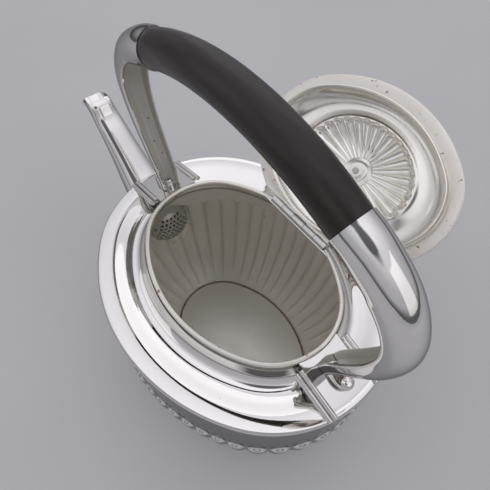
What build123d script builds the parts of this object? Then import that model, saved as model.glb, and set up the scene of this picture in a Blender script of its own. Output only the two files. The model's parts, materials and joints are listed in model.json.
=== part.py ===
from build123d import *
import os
from math import atan2, cos, degrees, radians, sin, sqrt

# Silver-plated oval tea kettle with an overhead bail handle and a side-hinged lid.
# Millimetres. The origin is the centre of the base on the table, +Z is up,
# the spout points to -X, the lid hinges on the +Y side and the bail lies in the XZ plane.
# The lid is modelled closed and then turned open about its hinge pin, where it rests.

# ---- driving dimensions -------------------------------------------------------
MOUTH_A = 69.6            # outer half length of the mouth rim
MOUTH_B = 51.0            # outer half width of the mouth rim
MOUTH_END_R = 42.0        # end radius of the mouth rim's outer oval
SHOULDER_OUT = 30.2       # how far the shoulder edge stands outside the rim
BELLY_OUT = 30.4          # how far the plain band stands outside the rim
FLOOR_OUT = -4.0          # the bowl's foot, measured the same way
SHEET = 1.2               # body sheet thickness
BASE_T = 1.5              # base plate thickness
BASE_LIP = 0.8            # base plate edge beyond the bowl's foot
FLUTE_TOP = 80.0          # height where the fluting stops
FLUTE_COUNT = 48
FLUTE_RISE = 2.2          # crest height of a flute over its valleys
BAND_TOP = 124.0          # bowl's upper edge, under the shoulder
RIM_TOP = 136.5
RIM_W = 2.8               # rim wire width
RIM_H = 3.0
CHORD_Y = 43.0            # straight side of the mouth
LEDGE_T = 1.6
HINGE_Y = 46.4            # hinge pin axis
HINGE_RISE = 0.6          # pin axis above the rim
HINGE_CLEAR = 0.3         # air round the turning knuckles
PIN_R = 0.9
KNUCKLE_R = 2.3
KNUCKLE_L = 9.4
KNUCKLE_GAP = 0.3
HINGE_GAP = 0.05          # running clearance of the pin, on the radius
LEAF_T = 1.2              # thickness of the lid's hinge leaf
LID_OPEN = 143.0          # opening angle at the lid's stop
LID_GAP = 0.4             # air between the closed lid and the rim
LID_T = 1.0
CHORD_GAP = 0.8           # closed bezel to the straight side of the mouth
BEZEL_DEPTH = 4.0
BEZEL_GAP = 5.6
DOME_RISE = 18.0
BOSS_R = 9.0
GRIP_R = 9.8
GRIP_HALF = 62.0          # half span of the grip
GRIP_END_Z = 242.0
GRIP_SAG = 13.5           # apex of the grip above its ends
TENON_R = 6.5
TENON_L = 9.0
TENON_GAP = 0.1
GRIP_PIN_R = 1.2
SADDLE_W = 26.8
REED_R = 1.5
STRAINER_R = 13.5
STRAINER_HOLE_R = 0.7
STRAINER_PITCH = 2.9
STRAINER_Z = 67.0
STUD_R = 2.0
KNOB_R = 11.0
SEAT_GAP = 0.05


KNUCKLE_STEP = KNUCKLE_L + KNUCKLE_GAP
HINGE_LENGTH = 5 * KNUCKLE_STEP
HINGE_Z = RIM_TOP + HINGE_RISE


# ---- ovals --------------------------------------------------------------------
END_C = MOUTH_A - MOUTH_END_R
SIDE_R = (END_C ** 2 + MOUTH_B ** 2 - MOUTH_END_R ** 2) / (2 * (MOUTH_B - MOUTH_END_R))
SIDE_C = SIDE_R - MOUTH_B
END_ANGLE = degrees(atan2(SIDE_C, END_C))


def oval_points(out, z):
    """The oval's four joints and four crowns, at an offset from the mouth rim."""
    r_end = MOUTH_END_R + out
    joint = (END_C + r_end * cos(radians(END_ANGLE)), r_end * sin(radians(END_ANGLE)))
    crown_x = MOUTH_A + out
    crown_y = MOUTH_B + out
    signs = ((1, 1), (-1, 1), (-1, -1), (1, -1))
    joints = [Vector(sx * joint[0], sy * joint[1], z) for sx, sy in signs]
    crowns = [Vector(0, crown_y, z), Vector(-crown_x, 0, z),
              Vector(0, -crown_y, z), Vector(crown_x, 0, z)]
    return joints, crowns


def oval_wire(out, z):
    joints, crowns = oval_points(out, z)
    arcs = [Edge.make_three_point_arc(joints[i], crowns[i], joints[(i + 1) % 4]) for i in range(4)]
    return Wire(arcs)


def oval_face(out, z):
    return Face(oval_wire(out, z))


def oval_slab(out, z0, z1):
    return Solid.extrude(oval_face(out, z0), Vector(0, 0, z1 - z0))


def round_wire(r, z):
    """A circle split into four arcs like the ovals."""
    angles = [END_ANGLE, 180 - END_ANGLE, 180 + END_ANGLE, 360 - END_ANGLE]
    mids = [90, 180, 270, 360]

    def at(a):
        return Vector(r * cos(radians(a)), r * sin(radians(a)), z)

    return Wire([Edge.make_three_point_arc(at(angles[i]), at(mids[i]), at(angles[(i + 1) % 4]))
                 for i in range(4)])


def around(profile):
    """Carries a closed profile, drawn as (offset, height), round the oval in four turns."""
    turns = (
        (Vector(END_C, 0, 0), MOUTH_END_R, -END_ANGLE, 2 * END_ANGLE),
        (Vector(0, -SIDE_C, 0), SIDE_R, END_ANGLE, 180 - 2 * END_ANGLE),
        (Vector(-END_C, 0, 0), MOUTH_END_R, 180 - END_ANGLE, 2 * END_ANGLE),
        (Vector(0, SIDE_C, 0), SIDE_R, 180 + END_ANGLE, 180 - 2 * END_ANGLE),
    )
    pieces = []
    for centre, radius, start, sweep_angle in turns:
        side = Vector(cos(radians(start)), sin(radians(start)), 0)
        normal = side.cross(Vector(0, 0, 1))
        plane = Plane(origin=centre + side * radius, x_dir=side, z_dir=normal)
        face = plane * profile
        pieces.append(revolve(face, Axis(centre, (0, 0, 1)), sweep_angle))
    whole = pieces[0]
    for piece in pieces[1:]:
        whole += piece
    return whole


def sheet_profile(points, thickness):
    """A curved sheet section: a spline and the same spline moved square to itself."""
    lower = []
    for i, (x, z) in enumerate(points):
        x0, z0 = points[max(i - 1, 0)]
        x1, z1 = points[min(i + 1, len(points) - 1)]
        length = sqrt((x1 - x0) ** 2 + (z1 - z0) ** 2)
        lower.append((x + (z1 - z0) / length * thickness, z - (x1 - x0) / length * thickness))
    top = Spline(*points)
    bottom = Spline(*lower)
    return make_face([top, Line(top @ 1, bottom @ 1), bottom, Line(bottom @ 0, top @ 0)])


def save(shape, node):
    shape.label = node
    export_step(shape, "parts/" + node + ".step")


# ---- body ---------------------------------------------------------------------
# Bowl section as (height, offset from the rim oval, flute height share)
BOWL_LEVELS = (
    (BASE_T, FLOOR_OUT, 0.1),
    (8.0, 3.6, 0.45),
    (20.0, 14.5, 0.8),
    (38.0, 23.6, 1.0),
    (58.0, 28.9, 1.0),
    (72.0, BELLY_OUT, 1.0),
    (FLUTE_TOP, BELLY_OUT - 0.5, 0.1),
)


def oval_spot(share):
    """Point and outward normal on the rim oval at a share of its length."""
    end_len = MOUTH_END_R * radians(2 * END_ANGLE)
    side_len = SIDE_R * radians(180 - 2 * END_ANGLE)
    s = (share % 1.0) * 2 * (end_len + side_len)
    runs = (
        (END_C, 0, MOUTH_END_R, -END_ANGLE, end_len),
        (0, -SIDE_C, SIDE_R, END_ANGLE, side_len),
        (-END_C, 0, MOUTH_END_R, 180 - END_ANGLE, end_len),
        (0, SIDE_C, SIDE_R, 180 + END_ANGLE, side_len),
    )
    for cx, cy, r, start, length in runs:
        if s <= length:
            break
        s -= length
    a = radians(start) + s / r
    return Vector(cx + r * cos(a), cy + r * sin(a), 0), Vector(cos(a), sin(a), 0)


def fluted_wire(out, z, rise):
    lift = Vector(0, 0, z)
    arcs = []
    for i in range(FLUTE_COUNT):
        p0, n0 = oval_spot((i - 0.5) / FLUTE_COUNT)
        p1, n1 = oval_spot(i / FLUTE_COUNT)
        p2, n2 = oval_spot((i + 0.5) / FLUTE_COUNT)
        arcs.append(Edge.make_three_point_arc(
            p0 + n0 * out + lift, p1 + n1 * (out + rise) + lift, p2 + n2 * out + lift))
    return Wire(arcs)


def bowl_form(inset):
    """The bowl's outer form, or its inner form when inset by the sheet."""
    wires = []
    for z, out, share in BOWL_LEVELS:
        low = z - (1.0 if inset and z == BASE_T else 0)
        wires.append(fluted_wire(out - inset, low, FLUTE_RISE * share))
    fluted = Solid.make_loft(wires)
    top = BAND_TOP + (1.0 if inset else 0)
    return fluted + oval_slab(BELLY_OUT - inset, FLUTE_TOP, top)


def body_bowl():
    shell = bowl_form(0) - bowl_form(SHEET)
    hole = Pos(-MOUTH_A - BELLY_OUT, 0, STRAINER_Z) * Rot(0, 90, 0) * Cylinder(STRAINER_R - 2, 30)
    return shell - hole


def base_plate():
    return oval_slab(FLOOR_OUT + BASE_LIP, 0, BASE_T)


# Upper face of the shoulder as (offset, height), from the rolled edge to the mouth
SHOULDER_TOP = (
    (SHOULDER_OUT + 1.2, BAND_TOP + 1.4),
    (SHOULDER_OUT - 1.0, BAND_TOP + 3.0),
    (SHOULDER_OUT - 8.0, BAND_TOP + 2.2),
    (SHOULDER_OUT - 16.0, BAND_TOP - 0.6),
    (SHOULDER_OUT - 22.5, BAND_TOP - 1.6),
    (SHOULDER_OUT - 27.0, BAND_TOP + 1.6),
    (0.6, BAND_TOP + 6.0),
    (0.0, RIM_TOP - RIM_H),
)


def shoulder_face():
    top = Spline(*SHOULDER_TOP)
    under = [(x - 0.4 - (SHEET if i > 4 else 0), z - (SHEET if i < 6 else 0.0))
             for i, (x, z) in enumerate(SHOULDER_TOP)]
    under[0] = (SHOULDER_OUT + 1.2, BAND_TOP)
    under[1] = (SHOULDER_OUT - 1.4, BAND_TOP)
    under[-1] = (-SHEET, RIM_TOP - RIM_H)
    flat = Line(under[0], under[1])
    low = Spline(*under[1:])
    return make_face([top, Line(SHOULDER_TOP[-1], under[-1]), low, flat,
                      Line(under[0], SHOULDER_TOP[0])])


def shoulder_block():
    """Everything under the shoulder's upper face, to seat what stands on it."""
    top = Spline(*SHOULDER_TOP)
    floor_z = BAND_TOP - 20
    edge = Polyline(SHOULDER_TOP[-1], (0, floor_z), (SHOULDER_OUT + 1.2, floor_z), SHOULDER_TOP[0])
    return around(make_face([top, edge]))


def ring_profile(out0, out1, z0, z1, soft=0.0):
    face = Pos((out0 + out1) / 2, (z0 + z1) / 2) * Rectangle(out1 - out0, z1 - z0)
    if soft:
        face = fillet(face.vertices().sort_by(Axis.Y)[-2:], soft)
    return face


def mouth_rim():
    ring = around(ring_profile(-RIM_W, 0, RIM_TOP - RIM_H, RIM_TOP, 1.0))
    return ring - hinge_notch()


def hinge_notch():
    """Gap in the rim and ledge that holds the hinge's knuckles."""
    front = HINGE_Y - KNUCKLE_R - HINGE_CLEAR
    back = MOUTH_B + 2
    width = HINGE_LENGTH + 2 * HINGE_CLEAR
    return Pos(0, (front + back) / 2, RIM_TOP) * Box(width, back - front, 2 * RIM_H + 2)


def hinge_ledge():
    """Flat strip that closes the mouth behind the straight chord."""
    plate = oval_slab(-RIM_W, RIM_TOP - LEDGE_T, RIM_TOP)
    keep = Pos(0, CHORD_Y + 50, RIM_TOP) * Box(200, 100, 20)
    return (plate & keep) - hinge_notch()


# ---- spout --------------------------------------------------------------------
# Stations of the spout: x, z, direction above -X, half width, half height
SPOUT_STATIONS = (
    (-86.0, 60.0, 8.0, 19.5, 25.0),
    (-115.0, 70.0, 34.0, 16.8, 18.5),
    (-135.0, 88.0, 47.0, 14.2, 13.6),
    (-151.0, 105.5, 48.0, 11.8, 10.2),
    (-166.0, 121.0, 44.0, 10.4, 8.0),
    (-180.0, 132.0, 28.0, 9.4, 6.4),
    (-193.0, 136.6, 6.0, 9.0, 4.8),
)
SPOUT_WALL = 1.3


def spout_section(station, inset):
    x, z, rise, half_w, half_h = station
    w = half_w - inset
    h = half_h - inset
    along = Vector(-cos(radians(rise)), 0, sin(radians(rise)))
    plane = Plane(origin=(x, 0, z), x_dir=(0, 1, 0), z_dir=along)
    corner = 0.45 * min(w, h)
    face = Sketch() + plane * RectangleRounded(2 * w, 2 * h, corner)
    return face.faces()[0].outer_wire()


def spout_form(inset):
    wires = [spout_section(s, inset) for s in SPOUT_STATIONS]
    return Solid.make_loft(wires)


def spout():
    channel = spout_form(SPOUT_WALL)
    tip = SPOUT_STATIONS[-1]
    mouth = Plane(origin=(tip[0], 0, tip[1]), x_dir=(0, 1, 0),
                  z_dir=(-cos(radians(tip[2])), 0, sin(radians(tip[2]))))
    bite = mouth * Box(2 * (tip[3] - SPOUT_WALL), 2 * (tip[4] - SPOUT_WALL), 2)
    shell = spout_form(0) - channel - bite
    return shell - bowl_form(0)


def strainer():
    """Pierced disc soldered inside the bowl over the spout's opening."""
    face_x = -(MOUTH_A + BELLY_OUT - SHEET) + 3.6
    disc = Pos(face_x, 0, STRAINER_Z) * Rot(0, 90, 0) * Cylinder(STRAINER_R, 1.0)
    rim = Pos(face_x - 1.8, 0, STRAINER_Z) * Rot(0, 90, 0) * Cylinder(STRAINER_R, 5.0)
    rim -= Pos(face_x - 1.8, 0, STRAINER_Z) * Rot(0, 90, 0) * Cylinder(STRAINER_R - 0.8, 6.0)
    rows = int(STRAINER_R / STRAINER_PITCH)
    holes = []
    for i in range(-rows, rows + 1):
        for j in range(-rows, rows + 1):
            y = i * STRAINER_PITCH
            z = j * STRAINER_PITCH
            if sqrt(y * y + z * z) < STRAINER_R - 2.2:
                holes.append(Pos(face_x, y, STRAINER_Z + z) * Rot(0, 90, 0)
                             * Cylinder(STRAINER_HOLE_R, 3))
    return (disc + rim - holes) & bowl_form(SHEET)


# ---- handle -------------------------------------------------------------------
GRIP_ARC_R = (GRIP_HALF ** 2 + GRIP_SAG ** 2) / (2 * GRIP_SAG)
GRIP_ARC_Z = GRIP_END_Z + GRIP_SAG - GRIP_ARC_R
GRIP_ARC_HALF = degrees(atan2(GRIP_HALF, GRIP_END_Z - GRIP_ARC_Z))
# Arm stations below the grip: x, z, downward turn of the centreline, half width, half depth
ARM_STATIONS = (
    (72.5, 238.4, 27.0, 9.6, 9.3),
    (86.5, 229.6, 45.0, 9.2, 8.6),
    (95.8, 217.0, 66.0, 8.8, 8.0),
    (99.4, 203.0, 88.0, 8.4, 7.4),
    (96.8, 184.0, 106.0, 7.8, 6.8),
    (89.8, 165.0, 114.0, 7.2, 6.2),
    (81.2, 145.5, 120.0, 6.6, 5.6),
    (76.4, 132.0, 108.0, 6.2, 5.0),
)


def grip_station():
    return (GRIP_HALF, GRIP_END_Z, GRIP_ARC_HALF, GRIP_R, GRIP_R)


def arm_section(station):
    x, z, turn, half_w, half_d = station
    along = Vector(cos(radians(turn)), 0, -sin(radians(turn)))
    plane = Plane(origin=(x, 0, z), x_dir=(0, 1, 0), z_dir=along)
    return (Sketch() + plane * Ellipse(half_w, half_d)).faces()[0].outer_wire()


def grip_arc_tube(radius, from_deg, to_deg):
    """A stretch of the grip's arc, by the angle from straight up towards +X."""
    centre = Vector(0, 0, GRIP_ARC_Z)
    start = radians(from_deg)
    side = Vector(sin(start), 0, cos(start))
    plane = Plane(origin=centre + side * GRIP_ARC_R, x_dir=side, z_dir=side.cross(Vector(0, -1, 0)))
    return revolve(plane * Circle(radius), Axis(centre, (0, 1, 0)), to_deg - from_deg)


def arm(side):
    wires = [arm_section(grip_station())] + [arm_section(s) for s in ARM_STATIONS]
    solid = Solid.make_loft(wires)
    turn = degrees(TENON_L / GRIP_ARC_R)
    socket = grip_arc_tube(TENON_R + TENON_GAP, GRIP_ARC_HALF - 0.2, GRIP_ARC_HALF + turn + 0.2)
    solid = solid - socket - grip_pin(1) - saddle_form() - shoulder_block()
    solid = max((solid - mouth_rim()).solids(), key=lambda s: s.volume)
    return solid if side > 0 else mirror(solid, Plane.YZ)


def grip():
    turn = degrees(TENON_L / GRIP_ARC_R)
    body = grip_arc_tube(GRIP_R, -GRIP_ARC_HALF, GRIP_ARC_HALF)
    body += grip_arc_tube(TENON_R, -GRIP_ARC_HALF - turn, GRIP_ARC_HALF + turn)
    return body - grip_pin(1) - grip_pin(-1)


def grip_pin(side):
    angle = radians(GRIP_ARC_HALF + degrees(TENON_L / GRIP_ARC_R) / 2)
    x = side * GRIP_ARC_R * sin(angle)
    z = GRIP_ARC_Z + GRIP_ARC_R * cos(angle)
    return Pos(x, 0, z) * Rot(90, 0, 0) * Cylinder(GRIP_PIN_R, 2 * GRIP_R - 0.6)


def saddle_form():
    """Sloping plate from the rim's collar to the shoulder's edge, on the +X side."""
    inner = (MOUTH_A + 0.2, RIM_TOP - 1.0)
    outer = (MOUTH_A + SHOULDER_OUT - 1.2, BAND_TOP + 3.6)
    low = BAND_TOP - 6
    outline = Polyline(inner, outer, (outer[0], low), (inner[0], low), close=True)
    face = Plane.XZ * make_face(outline)
    block = Pos(0, SADDLE_W / 2, 0) * extrude(face, SADDLE_W)
    return block - mouth_rim()


def saddle(side):
    solid = saddle_form() - shoulder_block()
    solid = max(solid.solids(), key=lambda s: s.volume)
    return solid if side > 0 else mirror(solid, Plane.YZ)


def saddle_reeds(side):
    """Two half-round mouldings on the saddle's long sides."""
    start = Vector(MOUTH_A + 1.2, 0, RIM_TOP - 1.0)
    end = Vector(MOUTH_A + SHOULDER_OUT - 1.2, 0, BAND_TOP + 3.6)
    along = end - start
    reeds = []
    for sign in (-1, 1):
        for row in (0, 1):
            y = sign * (SADDLE_W / 2 + REED_R * (1 + 2 * row))
            drop = Vector(0, y, -0.6 - 0.7 * row)
            plane = Plane(origin=start + drop, z_dir=along)
            rod = extrude(plane * Circle(REED_R), along.length)
            rod = rod - mouth_rim() - shoulder_block()
            reeds.append(max(rod.solids(), key=lambda s: s.volume))
    group = Compound(children=reeds)
    return group if side > 0 else mirror(group, Plane.YZ)


SCROLL_X = 88.0
SCROLL_EYE_R = 4.6
SCROLL_W = 11.0


def foot_scroll(side):
    """Rolled end of the bail's foot: a C-shaped strap curling round its eye."""
    eye_z = RIM_TOP - 0.5
    ring = Circle(SCROLL_EYE_R + 2.6) - Circle(SCROLL_EYE_R)
    gap = Pos(-5, 2.6) * Rectangle(10, 5.2)
    face = Plane.XZ * (Pos(SCROLL_X, eye_z) * (ring - gap))
    curl = Pos(0, SCROLL_W / 2, 0) * extrude(face, SCROLL_W)
    web = Pos((SCROLL_X + 76) / 2 - 1, 0, RIM_TOP - 5) * Box(SCROLL_X - 76, SCROLL_W, 6)
    solid = curl + web - eye_bore() - saddle_form() - shoulder_block() - arm(1)
    solid = max(solid.solids(), key=lambda s: s.volume)
    return solid if side > 0 else mirror(solid, Plane.YZ)


def eye_bore():
    return Pos(SCROLL_X, 0, RIM_TOP - 0.5) * Rot(90, 0, 0) * Cylinder(SCROLL_EYE_R, 40)


def scroll_eye(side):
    """Small turned boss that fills the scroll."""
    x = side * SCROLL_X
    z = RIM_TOP - 0.5
    core = Pos(x, 0, z) * Rot(90, 0, 0) * Cylinder(SCROLL_EYE_R, SCROLL_W)
    for sign in (-1, 1):
        core += Pos(x, sign * SCROLL_W / 2, z) * Rot(90, 0, 0) * Cylinder(SCROLL_EYE_R * 0.72, 2.4)
    return core


# ---- hinge --------------------------------------------------------------------
LID_BACK_Y = HINGE_Y - KNUCKLE_R - HINGE_CLEAR - LEAF_T
HINGE_AXIS = Axis((0, HINGE_Y, HINGE_Z), (1, 0, 0))


def knuckle(index):
    return Pos(index * KNUCKLE_STEP, HINGE_Y, HINGE_Z) * Rot(0, 90, 0) * Cylinder(KNUCKLE_R, KNUCKLE_L)


def pin_bore():
    return Pos(0, HINGE_Y, HINGE_Z) * Rot(0, 90, 0) * Cylinder(PIN_R + HINGE_GAP, 80)


def hinge_pin():
    return Pos(0, HINGE_Y, HINGE_Z) * Rot(0, 90, 0) * Cylinder(PIN_R, HINGE_LENGTH)


def body_hinge():
    """Fixed leaf in the rim's notch: a plate on the collar and three knuckles."""
    plate_low = RIM_TOP - RIM_H
    plate_high = HINGE_Z - KNUCKLE_R - HINGE_CLEAR
    front = HINGE_Y - KNUCKLE_R
    leaf = Pos(0, (front + MOUTH_B) / 2, (plate_low + plate_high) / 2) \
        * Box(HINGE_LENGTH, MOUTH_B - front, plate_high - plate_low)
    for i in (-2, 0, 2):
        web_h = HINGE_Z - plate_low
        leaf += knuckle(i)
        leaf += Pos(i * KNUCKLE_STEP, HINGE_Y, plate_low + web_h / 2) \
            * Box(KNUCKLE_L, 2 * KNUCKLE_R - 0.6, web_h)
    return leaf - pin_bore() - shoulder_block()


# ---- lid, closed --------------------------------------------------------------
LID_Z = RIM_TOP + LID_GAP
# Upper face of the lid's sheet as (offset, height)
LID_TOP = (
    (0.0, LID_Z + 1.4),
    (-4.0, LID_Z + 2.2),
    (-8.0, LID_Z + 6.0),
    (-12.5, LID_Z + 10.4),
    (-18.0, LID_Z + 12.2),
    (-22.5, LID_Z + 12.6),
)
ROSETTE_OUT = LID_TOP[-1][0]
LID_MID_Z = LID_TOP[-1][1]
BOSS_Z = LID_Z + DOME_RISE + 1.0


def lid_shell():
    return around(sheet_profile(LID_TOP, -LID_T)) - hinge_relief()


def hinge_relief():
    """Straight back of the lid, clear of the hinge tube."""
    return Pos(0, LID_BACK_Y + 20, LID_Z + 5) * Box(200, 40, 40)


def lid_flange():
    """Flat border under the lid's edge that covers the rim."""
    ring = around(ring_profile(-8.0, 0.0, LID_Z, LID_Z + 0.4))
    return ring - hinge_relief() - lid_shell()


def lid_bezel():
    """Upright ring that drops inside the mouth; cut back at the straight side."""
    out = -RIM_W - BEZEL_GAP
    ring = around(ring_profile(out - 1.0, out, RIM_TOP - BEZEL_DEPTH, LID_Z))
    clear = Pos(0, CHORD_Y - CHORD_GAP + 20, RIM_TOP) * Box(200, 40, 30)
    return ring - clear


def rosette_form(drop):
    levels = [
        oval_wire(ROSETTE_OUT, LID_MID_Z - drop),
        oval_wire(ROSETTE_OUT - 4.0, LID_MID_Z + 2.6 - drop),
        oval_wire(ROSETTE_OUT - 11.0, BOSS_Z - 1.6 - drop),
        round_wire(BOSS_R, BOSS_Z - drop),
    ]
    return Solid.make_loft(levels)


def lid_rosette():
    """Fluted centre of the lid, a thin dome between the sheet and the boss."""
    bore = Pos(0, 0, LID_Z + DOME_RISE) * Cylinder(STUD_R + SEAT_GAP, 30)
    return rosette_form(0) - rosette_form(LID_T) - bore


def lid_form():
    """Everything under the lid's sheet, down to its border."""
    top = Spline(*LID_TOP)
    edge = Polyline(LID_TOP[-1], (ROSETTE_OUT, LID_Z), (0, LID_Z), LID_TOP[0])
    return around(make_face([top, edge]))


def lid_hinge():
    """Moving leaf: a wall along the lid's straight back with two knuckles."""
    slab = Pos(0, LID_BACK_Y + LEAF_T / 2, LID_Z) * Box(2 * MOUTH_A, LEAF_T, 40)
    leaf = lid_form() & slab
    web_y = (LID_BACK_Y + HINGE_Y) / 2
    for i in (-1, 1):
        leaf += knuckle(i)
        leaf += Pos(i * KNUCKLE_STEP, web_y, HINGE_Z + 0.7) \
            * Box(KNUCKLE_L, HINGE_Y - LID_BACK_Y, 1.6)
    return leaf - pin_bore()


def finial_collar():
    ring = Pos(0, 0, BOSS_Z + 1.5) * Cylinder(6.0, 3.0)
    ring += Pos(0, 0, BOSS_Z + 4.0) * Cylinder(3.8, 2.0)
    return ring - Pos(0, 0, BOSS_Z) * Cylinder(STUD_R + SEAT_GAP, 20)


def finial_knob():
    base = BOSS_Z + 5.0
    outline = Spline((4.2, base), (6.0, base + 3.0), (KNOB_R, base + 9.0),
                     (KNOB_R - 2.5, base + 15.0), (0, base + 18.0))
    face = Plane.XZ * make_face([outline, Line((0, base + 18.0), (0, base)),
                                 Line((0, base), (4.2, base))])
    knob = revolve(face, Axis.Z)
    return knob - Pos(0, 0, base + 3) * Cylinder(STUD_R + SEAT_GAP, 14)


def finial_stud():
    low = BOSS_Z - LID_T - 5.0
    high = BOSS_Z + 5.0 + 9.8
    return Pos(0, 0, (low + high) / 2) * Cylinder(STUD_R, high - low)


def finial_washer():
    z = BOSS_Z - LID_T - 0.6
    disc = Pos(0, 0, z) * Cylinder(6.0, 1.2)
    return disc - Pos(0, 0, z) * Cylinder(STUD_R + SEAT_GAP, 10)


def finial_nut():
    z = BOSS_Z - LID_T - 1.2 - 1.5
    body = Pos(0, 0, z - 1.5) * extrude(RegularPolygon(4.2, 6), 3.0)
    return body - Pos(0, 0, z) * Cylinder(STUD_R + SEAT_GAP, 12)


def opened(shape):
    """The lid's pieces at rest, thrown back on the hinge."""
    return shape.rotate(HINGE_AXIS, -LID_OPEN)


# ---- build --------------------------------------------------------------------
os.makedirs("parts", exist_ok=True)
save(base_plate(), "base_plate")
save(body_bowl(), "body_bowl")
save(around(shoulder_face()), "shoulder")
save(mouth_rim(), "mouth_rim")
save(hinge_ledge(), "hinge_ledge")
save(spout(), "spout")
save(strainer(), "strainer")
save(grip(), "grip")
save(Compound(children=[grip_pin(1), grip_pin(-1)]), "grip_pins")
for side, name in ((-1, "front"), (1, "rear")):
    save(arm(side), "handle_arm_" + name)
    save(saddle(side), "saddle_" + name)
    save(saddle_reeds(side), "saddle_reeds_" + name)
    save(foot_scroll(side), "foot_scroll_" + name)
    save(scroll_eye(side), "scroll_eye_" + name)
save(body_hinge(), "body_hinge")
save(hinge_pin(), "hinge_pin")
for node, make in (
    ("lid_shell", lid_shell), ("lid_flange", lid_flange), ("lid_bezel", lid_bezel),
    ("lid_rosette", lid_rosette), ("lid_hinge", lid_hinge), ("finial_collar", finial_collar),
    ("finial_knob", finial_knob), ("finial_stud", finial_stud), ("finial_washer", finial_washer),
    ("finial_nut", finial_nut),
):
    save(opened(make()), node)
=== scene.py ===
import json
from math import atan2, cos, pi, radians, sin, sqrt

import bmesh
import bpy
from mathutils import Matrix, Vector


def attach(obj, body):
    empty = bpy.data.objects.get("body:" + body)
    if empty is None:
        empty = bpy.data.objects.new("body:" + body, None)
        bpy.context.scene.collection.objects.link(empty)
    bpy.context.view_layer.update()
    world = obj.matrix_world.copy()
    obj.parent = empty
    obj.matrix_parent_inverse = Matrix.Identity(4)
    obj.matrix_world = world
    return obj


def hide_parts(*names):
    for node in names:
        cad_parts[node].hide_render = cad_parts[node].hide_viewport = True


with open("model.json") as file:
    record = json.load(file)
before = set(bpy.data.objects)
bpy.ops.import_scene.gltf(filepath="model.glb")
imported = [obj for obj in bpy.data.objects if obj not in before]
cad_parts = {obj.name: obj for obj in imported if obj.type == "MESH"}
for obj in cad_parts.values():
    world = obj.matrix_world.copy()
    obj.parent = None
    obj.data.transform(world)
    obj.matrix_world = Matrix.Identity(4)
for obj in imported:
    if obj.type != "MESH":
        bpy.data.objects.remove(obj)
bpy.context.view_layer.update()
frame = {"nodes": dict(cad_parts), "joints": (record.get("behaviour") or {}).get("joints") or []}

MM = 0.001                 # shapes are worked out in mm, and meshes are in metres
SHARP = 40                 # degrees between faces at which an edge stays sharp

# ---- the kettle's ovals: offsets are measured outward from the mouth rim, in mm ----
MOUTH_A = 69.6             # half length of the rim's oval, which is four arcs
MOUTH_B = 51.0             # half width
END_R = 42.0
END_C = MOUTH_A - END_R
SIDE_R = (END_C ** 2 + MOUTH_B ** 2 - END_R ** 2) / (2 * (MOUTH_B - END_R))
SIDE_C = SIDE_R - MOUTH_B
END_ANGLE = atan2(SIDE_C, END_C)
END_LEN = END_R * 2 * END_ANGLE
SIDE_LEN = SIDE_R * (pi - 2 * END_ANGLE)
OVAL_SIDES = 288           # columns of points round an oval piece

SHEET = 1.2                # thickness of the bowl
BASE_T = 1.5
FLOOR_OUT = -4.0
BELLY_OUT = 30.4
BAND_TOP = 124.0
FLUTE_TOP = 80.0
RIM_TOP = 136.5
RIM_W = 2.8
RIM_H = 3.0
RIM_ROUND = 1.2
SHOULDER_OUT = 30.2
LID_Z = RIM_TOP + 0.4
LID_T = 1.0
LID_BACK_Y = 42.6          # the closed lid is cut off straight here
CHORD_Y = 43.0             # the mouth is closed behind this line
CHORD_GAP = 0.8            # the bezel ends before it and the rim's gap starts behind it
HINGE_LENGTH = 48.5
HINGE_PLAY = 0.3           # free space at each end
HINGE = Vector(frame["joints"][0]["pos_m"])
LID_OPEN = radians(frame["joints"][0]["range_deg"][1])


def oval_spot(share):
    """Point and outward normal on the rim oval at a share of its length."""
    s = (share % 1.0) * 2 * (END_LEN + SIDE_LEN)
    runs = (
        (END_C, 0, END_R, -END_ANGLE, END_LEN),
        (0, -SIDE_C, SIDE_R, END_ANGLE, SIDE_LEN),
        (-END_C, 0, END_R, pi - END_ANGLE, END_LEN),
        (0, SIDE_C, SIDE_R, pi + END_ANGLE, SIDE_LEN),
    )
    for cx, cy, r, start, length in runs:
        if s <= length:
            break
        s -= length
    a = start + s / r
    return (cx + r * cos(a), cy + r * sin(a)), (cos(a), sin(a))


def smooth(points, steps=8):
    """Catmull-Rom curve through a list of equal-length tuples."""
    out = []
    for i in range(len(points) - 1):
        p0 = points[max(i - 1, 0)]
        p1 = points[i]
        p2 = points[i + 1]
        p3 = points[min(i + 2, len(points) - 1)]
        for k in range(steps):
            t = k / steps
            out.append(tuple(
                0.5 * (2 * b + (c - a) * t + (2 * a - 5 * b + 4 * c - d) * t * t
                       + (3 * b - a - 3 * c + d) * t ** 3)
                for a, b, c, d in zip(p0, p1, p2, p3)))
    out.append(tuple(points[-1]))
    return out


def follow(points, x):
    """Height of a smoothed (x, y) curve at x."""
    for (x0, y0), (x1, y1) in zip(points, points[1:]):
        if x <= x1:
            return y0 + (y1 - y0) * max(0.0, x - x0) / (x1 - x0)
    return points[-1][1]


def ease(t):
    """Smooth step from 0 to 1, flat at both ends."""
    t = min(max(t, 0.0), 1.0)
    return t * t * (3 - 2 * t)


# ---- mesh helpers ---------------------------------------------------------------
def make(name, verts, faces, material, body, replaces=(), sharp=SHARP):
    """A finished piece from points in mm, riding on its body."""
    mesh = bpy.data.meshes.new(name)
    mesh.from_pydata([tuple(c * MM for c in v) for v in verts], [], faces)
    bm = bmesh.new()
    bm.from_mesh(mesh)
    bmesh.ops.remove_doubles(bm, verts=bm.verts, dist=1e-7)
    bmesh.ops.recalc_face_normals(bm, faces=bm.faces)
    bm.to_mesh(mesh)
    bm.free()
    piece = bpy.data.objects.new(name, mesh)
    bpy.context.scene.collection.objects.link(piece)
    mesh.shade_smooth()
    mesh.set_sharp_from_angle(angle=radians(sharp))
    mesh.materials.append(material)
    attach(piece, body)
    if replaces:
        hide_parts(*replaces)
    return piece


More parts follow.
